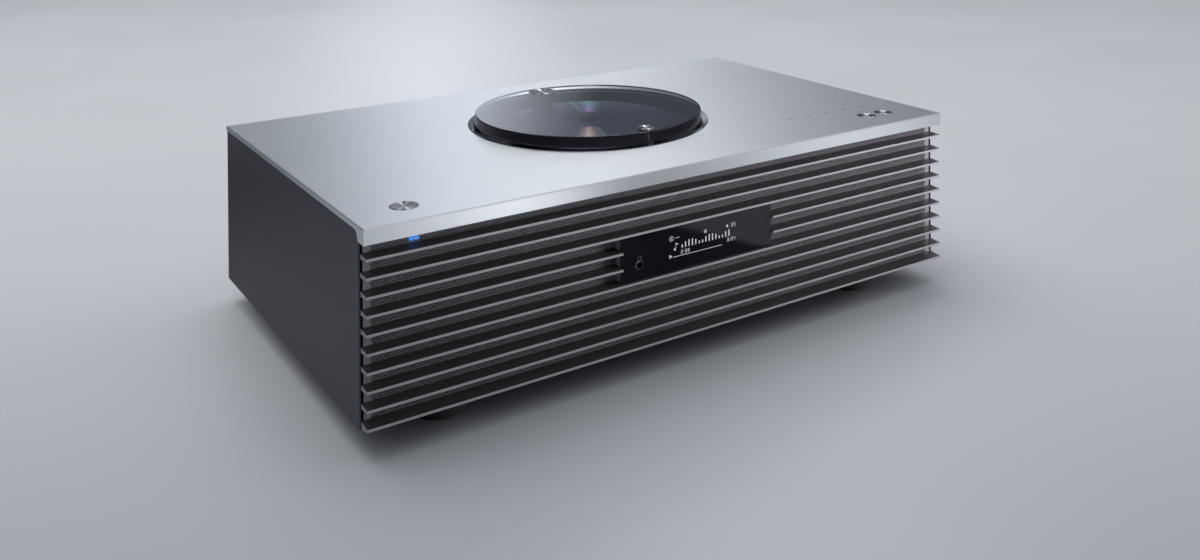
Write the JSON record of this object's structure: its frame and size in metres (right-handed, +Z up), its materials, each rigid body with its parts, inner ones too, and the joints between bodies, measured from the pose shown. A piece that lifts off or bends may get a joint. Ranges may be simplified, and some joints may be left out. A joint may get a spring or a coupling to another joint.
{
  "type": "compact hifi system",
  "caption": "Low one-box music system: finned front over perforated mesh, display window, brushed top with a swivel smoked disc lid, disc drive and loudspeakers inside.",
  "frame": {"origin": "on the table plane under the middle of the casing", "axes": "+X to the right seen from the front, +Y to the back, +Z up; the finned front faces -Y"},
  "size_m": [0.45, 0.278, 0.1365],
  "materials": {
    "top_metal": "brushed along X, clear anodised",
    "side_metal": "fine-grained satin metallic",
    "fin_metal": "satin charcoal",
    "mesh_metal": "satin, perforated",
    "spun_metal": "spin-finished",
    "smoked_acrylic": "clear smoked, polished edge",
    "display_glass": "glossy black",
    "black_plastic": "moulded satin black",
    "grey_plastic": "moulded",
    "disc_surface": "mirror with fine grooves",
    "bright_steel": "ground",
    "dark_steel": "black zinc",
    "brass": "turned",
    "rubber": "moulded matte",
    "circuit_board": "solder-masked board",
    "cone_paper": "pressed cone",
    "white_plastic": "translucent light guide",
    "lens_glass": "coated lens",
    "heat_sink_metal": "black anodised",
    "ribbon": "flat cable"
  },
  "bodies": {
    "case": {"top_plate": "top_metal", "side_panel_left": "side_metal", "side_panel_right": "side_metal", "rear_panel": "dark_steel", "bottom_tray": "dark_steel", "corner_posts": "bright_steel", "screws": "dark_steel", "feet": "black_plastic", "foot_pads": "rubber", "grille_fins": "fin_metal", "speaker_mesh": "mesh_metal", "grille_frame": "black_plastic", "status_light": "white_plastic", "display_window": "display_glass", "display_housing": "black_plastic", "display_module": "circuit_board", "display_ribbon": "ribbon", "headphone_jack": "bright_steel", "push_switches": "black_plastic", "control_boards": "circuit_board", "touch_pads": "rubber", "lid_pivot_bush": "brass", "lid_catch_magnet": "dark_steel", "disc_well": "black_plastic", "spindle_motor": "bright_steel", "drive_chassis": "bright_steel", "guide_rods": "bright_steel", "rubber_dampers": "rubber", "feed_motor": "bright_steel", "speaker_boxes": "black_plastic", "woofer_frames": "dark_steel", "woofer_surrounds": "rubber", "tweeters": "dark_steel", "bass_ports": "black_plastic", "subwoofer_box": "black_plastic", "subwoofer_frame": "dark_steel", "subwoofer_surround": "rubber", "board_standoffs": "brass", "main_board": "circuit_board", "heat_sink": "heat_sink_metal", "power_supply": "circuit_board", "mains_inlet": "black_plastic", "rear_sockets": "black_plastic", "aerial_socket": "bright_steel", "wireless_module": "bright_steel"},
    "lid": {"cd_lid": "smoked_acrylic", "lid_pivot_pin": "spun_metal", "lid_finger_knob": "spun_metal"},
    "power_button": {"power_button": "spun_metal"},
    "volume_down_button": {"volume_down_button": "spun_metal"},
    "volume_up_button": {"volume_up_button": "spun_metal"},
    "disc": {"compact_disc": "disc_surface", "turntable": "black_plastic"},
    "sled": {"pickup_sled": "black_plastic"},
    "lens": {"objective_lens": "lens_glass"},
    "idler": {"idler_gear": "grey_plastic"},
    "pinion": {"feed_pinion": "grey_plastic"},
    "left_cone": {"woofer_cone_left": "cone_paper"},
    "right_cone": {"woofer_cone_right": "cone_paper"},
    "sub_cone": {"subwoofer_cone": "cone_paper"}
  },
  "joints": [
    {"name": "lid_swivel", "type": "hinge", "parent": "case", "child": "lid", "pos_m": [0, 0.0705, 0.12], "axis": [0, 0, 1], "range_deg": [0, 150]},
    {"name": "power_press", "type": "slide", "parent": "case", "child": "power_button", "axis": [0, 0, -1], "range_m": [0, 0.0007]},
    {"name": "volume_down_press", "type": "slide", "parent": "case", "child": "volume_down_button", "axis": [0, 0, -1], "range_m": [0, 0.0007]},
    {"name": "volume_up_press", "type": "slide", "parent": "case", "child": "volume_up_button", "axis": [0, 0, -1], "range_m": [0, 0.0007]},
    {"name": "disc_spin", "type": "hinge", "parent": "case", "child": "disc", "pos_m": [0, 0, 0.11], "axis": [0, 0, 1], "continuous": true},
    {"name": "sled_travel", "type": "slide", "parent": "case", "child": "sled", "axis": [0, -1, 0], "range_m": [0, 0.034]},
    {"name": "lens_focus", "type": "slide", "parent": "sled", "child": "lens", "axis": [0, 0, 1], "range_m": [-0.0007, 0.0007]},
    {"name": "idler_spin", "type": "hinge", "parent": "case", "child": "idler", "pos_m": [0.0288, -0.04, 0.1], "axis": [0, 0, 1], "range_deg": [0, 410]},
    {"name": "pinion_spin", "type": "hinge", "parent": "case", "child": "pinion", "pos_m": [0.0288, -0.0556, 0.1], "axis": [0, 0, 1], "range_deg": [-1360, 0]},
    {"name": "left_cone_throw", "type": "slide", "parent": "case", "child": "left_cone", "axis": [0, -1, 0], "range_m": [-0.0025, 0.0025], "deforming": ["woofer_surrounds"]},
    {"name": "right_cone_throw", "type": "slide", "parent": "case", "child": "right_cone", "axis": [0, -1, 0], "range_m": [-0.0025, 0.0025], "deforming": ["woofer_surrounds"]},
    {"name": "sub_cone_throw", "type": "slide", "parent": "case", "child": "sub_cone", "axis": [0, 0, -1], "range_m": [-0.0035, 0.0035], "deforming": ["subwoofer_surround"]}
  ],
  "couplings": [
    {"joint": "idler_spin", "follows": "sled_travel", "rad_per_m": 208.33},
    {"joint": "pinion_spin", "follows": "sled_travel", "rad_per_m": -694.44}
  ]
}
